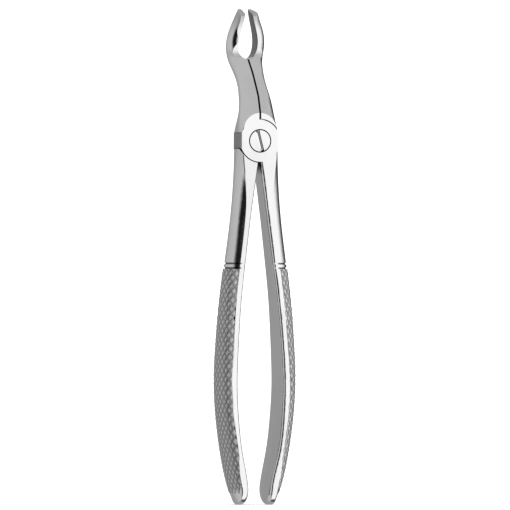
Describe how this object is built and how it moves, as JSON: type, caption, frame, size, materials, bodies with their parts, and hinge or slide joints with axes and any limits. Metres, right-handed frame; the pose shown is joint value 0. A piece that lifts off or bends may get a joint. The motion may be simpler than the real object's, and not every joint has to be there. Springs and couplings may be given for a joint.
{
  "type": "extraction forceps",
  "caption": "Bayonet dental extraction forceps: two crossing steel levers with a screw lap joint, offset beaks and knurled bow handles that open and close.",
  "frame": {"origin": "on the pivot axis, in the plane of the joint's flat front face (the face of the screw head)", "axes": "+Z along the tool from the handles to the beaks, -Y out of the joint's front face, +Y the way the beaks are set back, +X to the right seen from the front"},
  "size_m": [0.029, 0.023, 0.1744],
  "materials": {
    "front_lever": "polished stainless steel",
    "back_lever": "polished stainless steel",
    "pivot_screw": "polished stainless steel"
  },
  "bodies": {
    "back_half": {"back_lever": "back_lever", "pivot_screw": "pivot_screw"},
    "front_half": {"front_lever": "front_lever"}
  },
  "joints": [
    {"name": "lever_pivot", "type": "hinge", "parent": "back_half", "child": "front_half", "pos_m": [0, 0, 0], "axis": [0, -1, 0], "range_deg": [-0.7, 30]}
  ]
}
